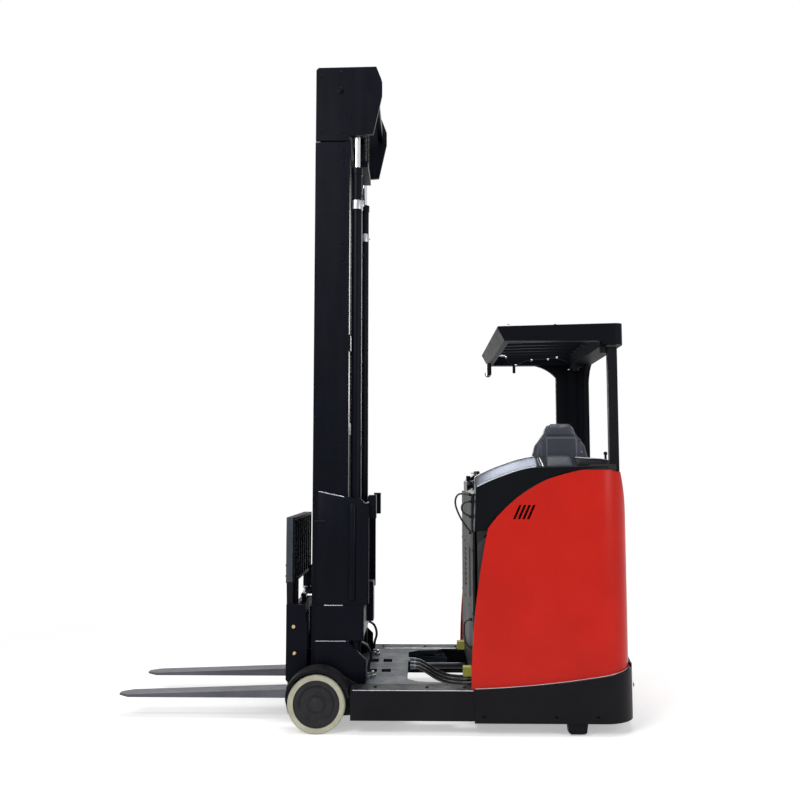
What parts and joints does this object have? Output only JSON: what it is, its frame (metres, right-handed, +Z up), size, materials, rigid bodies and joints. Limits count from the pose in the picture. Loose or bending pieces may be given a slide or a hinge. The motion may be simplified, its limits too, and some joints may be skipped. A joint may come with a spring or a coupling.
{
  "type": "reach truck",
  "caption": "Electric reach truck with a three-stage telescopic mast on a reaching carriage, straddle legs, sideways seat, overhead guard and pallet forks.",
  "frame": {"origin": "centre of the overall box in plan, on the floor under the wheels", "axes": "-X along the forks, +X to the rear of the chassis, -Y the side behind the seat, +Z up"},
  "size_m": [2.914, 1.28, 3.785],
  "materials": {
    "red_paint": "gloss paint",
    "black_cover": "semi-gloss moulded plastic",
    "frame_black": "satin paint",
    "mast_black": "satin paint, greased tracks",
    "deck_grey": "semi-gloss paint",
    "panel_grey": "satin paint",
    "fork_steel": "worn satin paint",
    "tyre_cream": "cast polyurethane",
    "drive_tyre": "cast polyurethane",
    "wheel_hub": "painted casting",
    "bumper_yellow": "moulded rubber",
    "steel_bright": "ground",
    "chrome_rod": "hard chrome",
    "chain_steel": "oiled",
    "hose_rubber": "rubber",
    "seat_fabric": "woven cloth",
    "battery_case": "paint",
    "motor_grey": "paint"
  },
  "bodies": {
    "chassis": {"anti_tip_skids": "frame_black", "battery": "battery_case", "chassis_frame": "frame_black", "chassis_skirt": "frame_black", "console_cover": "black_cover", "control_armrest": "black_cover", "drive_motor": "motor_grey", "front_cables": "hose_rubber", "front_panel": "panel_grey", "guard_column_right": "frame_black", "guard_post_left": "frame_black", "mast_bumpers": "bumper_yellow", "overhead_guard": "frame_black", "pedals": "frame_black", "reach_barrel": "frame_black", "rear_panel": "red_paint", "seat_backrest": "seat_fabric", "seat_cushion": "seat_fabric", "seat_frame": "frame_black", "seat_hood": "black_cover", "side_cover_left": "black_cover", "side_panel_left": "red_paint", "side_panel_right": "red_paint", "straddle_leg_left": "frame_black", "straddle_leg_right": "frame_black"},
    "mast_reach": {"outer_mast": "mast_black", "mast_cradle": "mast_black", "reach_deck": "deck_grey", "reach_rollers": "steel_bright", "reach_rod": "chrome_rod", "reach_hoses": "hose_rubber", "lift_barrels": "mast_black", "mast_pipes": "steel_bright"},
    "mast_middle": {"middle_mast": "mast_black", "mast_head": "mast_black", "lift_rods": "chrome_rod", "mast_chains": "chain_steel"},
    "mast_inner": {"inner_mast": "mast_black", "free_lift_barrel": "mast_black"},
    "free_lift": {"free_lift_rod": "chrome_rod", "chain_pulleys_free": "steel_bright", "carriage_chains": "chain_steel"},
    "lift_slide": {"lift_carriage": "mast_black"},
    "tilting_frame": {"tilt_frame": "mast_black"},
    "tilt_rod_pair": {"tilt_rods": "chrome_rod"},
    "side_shifter": {"fork_carriage": "mast_black", "load_backrest": "mast_black", "fork_left": "fork_steel", "fork_right": "fork_steel"},
    "load_wheel_left": {"load_tyre_left": "tyre_cream", "load_hub_left": "wheel_hub"},
    "load_wheel_right": {"load_tyre_right": "tyre_cream", "load_hub_right": "wheel_hub"},
    "drive_swivel": {"drive_turntable": "wheel_hub"},
    "drive_wheel": {"drive_tyre": "drive_tyre", "drive_hub": "wheel_hub"},
    "steering": {"steering_wheel": "black_cover"}
  },
  "joints": [
    {"name": "mast_reach_slide", "type": "slide", "parent": "chassis", "child": "mast_reach", "axis": [1, 0, 0], "range_m": [0, 0.53], "deforming": ["reach_hoses"]},
    {"name": "middle_mast_lift", "type": "slide", "parent": "mast_reach", "child": "mast_middle", "axis": [0, 0, 1], "range_m": [0, 2.7], "deforming": ["mast_chains"]},
    {"name": "inner_mast_lift", "type": "slide", "parent": "mast_middle", "child": "mast_inner", "axis": [0, 0, 1], "range_m": [0, 2.7]},
    {"name": "carriage_lift", "type": "slide", "parent": "mast_inner", "child": "lift_slide", "axis": [0, 0, 1], "range_m": [-0.05, 2.75], "deforming": ["carriage_chains"]},
    {"name": "free_lift_slide", "type": "slide", "parent": "mast_inner", "child": "free_lift", "axis": [0, 0, 1], "range_m": [-0.03, 1.38]},
    {"name": "fork_tilt", "type": "hinge", "parent": "lift_slide", "child": "tilting_frame", "pos_m": [-0.392, 0, 0.262], "axis": [0, 1, 0], "range_deg": [-2, 4]},
    {"name": "tilt_rod_slide", "type": "slide", "parent": "lift_slide", "child": "tilt_rod_pair", "axis": [1, 0, 0], "range_m": [-0.015, 0.029]},
    {"name": "fork_sideshift", "type": "slide", "parent": "tilting_frame", "child": "side_shifter", "axis": [0, 1, 0], "range_m": [-0.075, 0.075]},
    {"name": "load_wheel_left_spin", "type": "hinge", "parent": "chassis", "child": "load_wheel_left", "pos_m": [-0.292, -0.5775, 0.155], "axis": [0, 1, 0], "continuous": true},
    {"name": "load_wheel_right_spin", "type": "hinge", "parent": "chassis", "child": "load_wheel_right", "pos_m": [-0.292, 0.5775, 0.155], "axis": [0, 1, 0], "continuous": true},
    {"name": "drive_steer", "type": "hinge", "parent": "chassis", "child": "drive_swivel", "pos_m": [1.095, -0.15, 0.4], "axis": [0, 0, 1], "range_deg": [-90, 90]},
    {"name": "drive_wheel_spin", "type": "hinge", "parent": "drive_swivel", "child": "drive_wheel", "pos_m": [1.095, -0.15, 0.1715], "axis": [0, 1, 0], "continuous": true},
    {"name": "steering_wheel_turn", "type": "hinge", "parent": "chassis", "child": "steering", "pos_m": [0.704, 0.04, 1.322], "axis": [0, 0, 1], "range_deg": [-540, 540]}
  ],
  "couplings": [
    {"joint": "inner_mast_lift", "follows": "middle_mast_lift", "ratio": 1},
    {"joint": "free_lift_slide", "follows": "carriage_lift", "ratio": 0.5},
    {"joint": "tilt_rod_slide", "follows": "fork_tilt", "m_per_rad": 0.406},
    {"joint": "steering_wheel_turn", "follows": "drive_steer", "ratio": 6}
  ]
}
